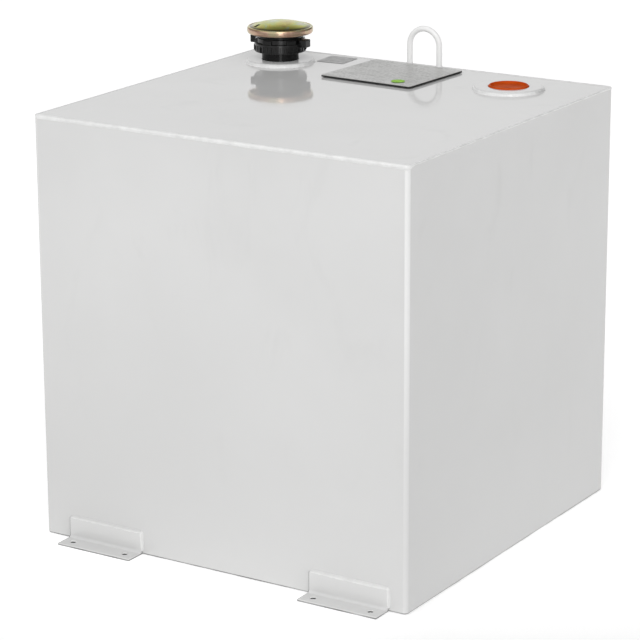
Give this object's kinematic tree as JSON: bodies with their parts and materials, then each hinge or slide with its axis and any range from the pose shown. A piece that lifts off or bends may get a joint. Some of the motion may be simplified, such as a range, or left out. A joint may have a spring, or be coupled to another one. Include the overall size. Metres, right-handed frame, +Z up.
{
  "type": "square steel liquid tank",
  "caption": "Square welded steel tank for water or fuel, with a capped filler neck, a plugged bung, a lifting eye, bolt-down angle brackets and a plate on top.",
  "frame": {"origin": "centre of the underside, on the floor", "axes": "+Z up; -Y is the front wall; +X is the side of the bung, -X the side of the filler"},
  "size_m": [0.5866, 0.6302, 0.6586],
  "materials": {
    "white_powder_coat": "gloss white powder coat, light orange peel",
    "coated_weld": "weld bead under gloss white powder coat",
    "bare_steel": "plain mill steel",
    "black_plastic": "gloss black moulded plastic",
    "yellow_zinc": "yellow zinc plating with faint rainbow tints",
    "orange_plastic": "orange-red moulded plastic",
    "rubber": "matt black rubber",
    "plate_silver": "satin silver printed face",
    "plate_black": "black board edge",
    "label_grey": "grey printed film",
    "sticker_green": "bright green paper sticker"
  },
  "bodies": {
    "tank": {"body_wrap": "white_powder_coat", "top_panel": "white_powder_coat", "bottom_panel": "white_powder_coat", "top_weld_bead": "coated_weld", "bottom_weld_bead": "coated_weld", "rear_seam_weld": "coated_weld", "baffle_plate": "bare_steel", "filler_flange": "white_powder_coat", "filler_flange_weld": "coated_weld", "bung_flange": "white_powder_coat", "bung_flange_weld": "coated_weld", "filler_adapter": "black_plastic", "lifting_eye": "white_powder_coat", "lifting_eye_weld_left": "coated_weld", "lifting_eye_weld_right": "coated_weld", "mounting_bracket_front_left": "white_powder_coat", "bracket_weld_front_left": "coated_weld", "mounting_bracket_front_right": "white_powder_coat", "bracket_weld_front_right": "coated_weld", "mounting_bracket_rear_left": "white_powder_coat", "bracket_weld_rear_left": "coated_weld", "mounting_bracket_rear_right": "white_powder_coat", "bracket_weld_rear_right": "coated_weld", "plate_pad": "rubber", "plate_backing": "plate_black", "plate_face": "plate_silver", "inspection_sticker": "sticker_green", "data_label": "label_grey"},
    "cap_seal": {"cap_gasket": "rubber"},
    "cap": {"cap_shell": "yellow_zinc", "retainer_plate": "bare_steel", "cap_rivet": "bare_steel", "cam_plate": "bare_steel"},
    "plug": {"bung_plug": "orange_plastic"}
  },
  "joints": [
    {"name": "cap_lift", "type": "slide", "parent": "tank", "child": "cap_seal", "axis": [0, 0, 1], "range_m": [0, 0.08]},
    {"name": "cap_turn", "type": "hinge", "parent": "cap_seal", "child": "cap", "pos_m": [-0.2062, 0.1956, 0.6417], "axis": [0, 0, 1], "range_deg": [-90, 0]},
    {"name": "plug_pull", "type": "slide", "parent": "tank", "child": "plug", "axis": [0, 0, 1], "range_m": [0, 0.05]}
  ]
}
